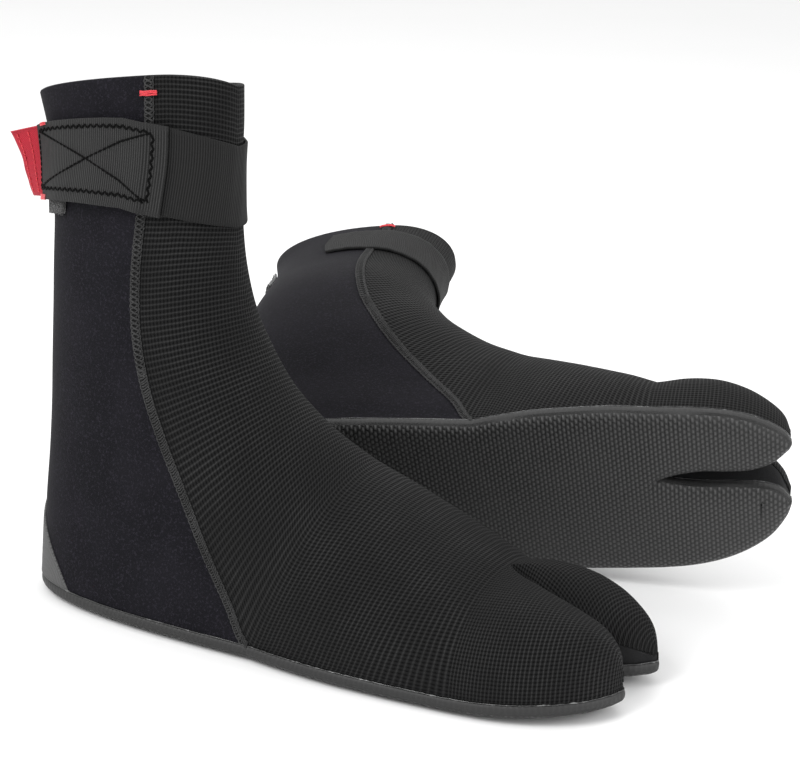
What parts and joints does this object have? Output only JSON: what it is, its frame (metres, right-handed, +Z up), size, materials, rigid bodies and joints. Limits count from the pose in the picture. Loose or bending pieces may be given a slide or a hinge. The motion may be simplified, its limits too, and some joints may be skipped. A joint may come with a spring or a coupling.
{
  "type": "neoprene boots",
  "caption": "Pair of ankle-high split-toe neoprene water boots with moulded rubber soles and hook-and-loop ankle straps; the right one stands, the left one lies on its outer side",
  "frame": {"origin": "centre of the pair's bounding box, on the ground", "axes": "+Z is up. The right boot stands with its toes to +X and turned 27.5 degrees towards -Y. The left boot lies on its outer side behind it, sole towards -Y. The pair is longest along Y and lowest along Z."},
  "size_m": [0.3646, 0.4112, 0.2453],
  "materials": {
    "sole_rubber": "moulded, embossed with small staggered bars, satin",
    "patch_rubber": "grey rubber with a fine cross-hatch",
    "smooth_jersey": "neoprene faced with smooth black nylon jersey",
    "grid_jersey": "neoprene faced with a raised grid knit",
    "gusset_jersey": "thin black neoprene, smooth",
    "lining": "knit-faced insole",
    "flatlock_thread": "flatlock cover stitching",
    "webbing": "ribbed charcoal webbing",
    "hook_tape": "hook side of a hook-and-loop tape",
    "loop_tape": "fuzzy loop side of a hook-and-loop tape",
    "red_tape": "folded red polyester tape",
    "red_thread": "dense red bartack stitching"
  },
  "bodies": {
    "right_boot": {"right_outsole": "sole_rubber", "right_insole": "lining", "right_heel_patch": "patch_rubber", "right_heel_panel": "smooth_jersey", "right_vamp": "grid_jersey", "right_toe_gusset": "gusset_jersey", "right_seam_outer": "flatlock_thread", "right_seam_inner": "flatlock_thread", "right_strap_front": "webbing", "right_loop_patch": "loop_tape", "right_bartack_outer": "red_thread", "right_bartack_inner": "red_thread"},
    "left_boot": {"left_outsole": "sole_rubber", "left_insole": "lining", "left_heel_patch": "patch_rubber", "left_heel_panel": "smooth_jersey", "left_vamp": "grid_jersey", "left_toe_gusset": "gusset_jersey", "left_seam_outer": "flatlock_thread", "left_seam_inner": "flatlock_thread", "left_strap_front": "webbing", "left_loop_patch": "loop_tape", "left_bartack_outer": "red_thread", "left_bartack_inner": "red_thread"},
    "right_strap_flap": {"right_strap_end": "webbing", "right_hook_patch": "hook_tape", "right_tab_bartack_lower": "red_thread", "right_tab_bartack_upper": "red_thread"},
    "left_strap_flap": {"left_strap_end": "webbing", "left_hook_patch": "hook_tape", "left_tab_bartack_lower": "red_thread", "left_tab_bartack_upper": "red_thread"},
    "right_tab": {"right_pull_tab": "red_tape"},
    "left_tab": {"left_pull_tab": "red_tape"}
  },
  "joints": [
    {"name": "right_strap_peel", "type": "hinge", "parent": "right_boot", "child": "right_strap_flap", "pos_m": [-0.10447, -0.10786, 0.20371], "axis": [0, 0, 1], "range_deg": [0, 110]},
    {"name": "right_tab_flex", "type": "hinge", "parent": "right_strap_flap", "child": "right_tab", "pos_m": [-0.16826, -0.05588, 0.19812], "axis": [-0.066, -0.1475, 0.9869], "range_deg": [0, 24]},
    {"name": "left_boot_lift", "type": "slide", "parent": "right_boot", "child": "left_boot", "axis": [0, 0, 1], "range_m": [0, 0.35]},
    {"name": "left_strap_peel", "type": "hinge", "parent": "left_boot", "child": "left_strap_flap", "pos_m": [0.00612, 0.16186, 0.07161], "axis": [-0.1739, -0.9776, -0.1187], "range_deg": [0, 30]},
    {"name": "left_tab_flex", "type": "hinge", "parent": "left_strap_flap", "child": "left_tab", "pos_m": [-0.06314, 0.17381, 0.07299], "axis": [-0.2272, -0.9712, -0.071], "range_deg": [0, 24]}
  ]
}
